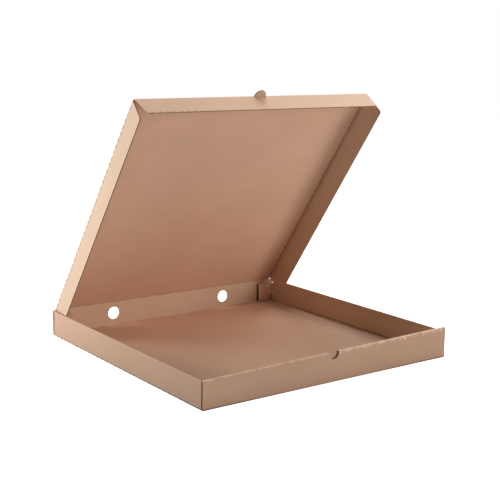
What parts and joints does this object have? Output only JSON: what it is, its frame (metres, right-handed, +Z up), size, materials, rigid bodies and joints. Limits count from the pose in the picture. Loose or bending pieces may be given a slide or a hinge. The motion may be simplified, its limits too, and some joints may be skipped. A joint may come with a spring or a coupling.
{
  "type": "pizza box",
  "caption": "Square shallow pizza box in plain kraft corrugated board, with a hinged lid standing half open, lid flaps, a half-moon tab, a finger notch and round vents.",
  "frame": {"origin": "middle of the tray's underside", "axes": "+X to the right along the hinge, -Y towards the front wall with the finger notch, +Z up"},
  "size_m": [0.4, 0.4, 0.3628],
  "materials": {
    "kraft_board": "uncoated brown kraft liner"
  },
  "bodies": {
    "tray": {"tray": "kraft_board"},
    "lid": {"lid": "kraft_board"},
    "front_flap": {"lid_front_flap": "kraft_board"},
    "left_flap": {"lid_left_flap": "kraft_board"},
    "right_flap": {"lid_right_flap": "kraft_board"}
  },
  "joints": [
    {"name": "lid_hinge", "type": "hinge", "parent": "tray", "child": "lid", "pos_m": [0, 0.19925, 0.03875], "axis": [-1, 0, 0], "range_deg": [-52.95, 126.3]},
    {"name": "front_flap_fold", "type": "hinge", "parent": "lid", "child": "front_flap", "pos_m": [0, -0.03238, 0.35407], "axis": [1, 0, 0], "range_deg": [0, 58]},
    {"name": "left_flap_fold", "type": "hinge", "parent": "lid", "child": "left_flap", "pos_m": [-0.19524, 0.1983, 0.04004], "axis": [-0.0054, 0.592, -0.8059], "range_deg": [0, 85]},
    {"name": "right_flap_fold", "type": "hinge", "parent": "lid", "child": "right_flap", "pos_m": [0.19524, 0.1983, 0.04004], "axis": [-0.0054, -0.592, 0.8059], "range_deg": [0, 85]}
  ]
}
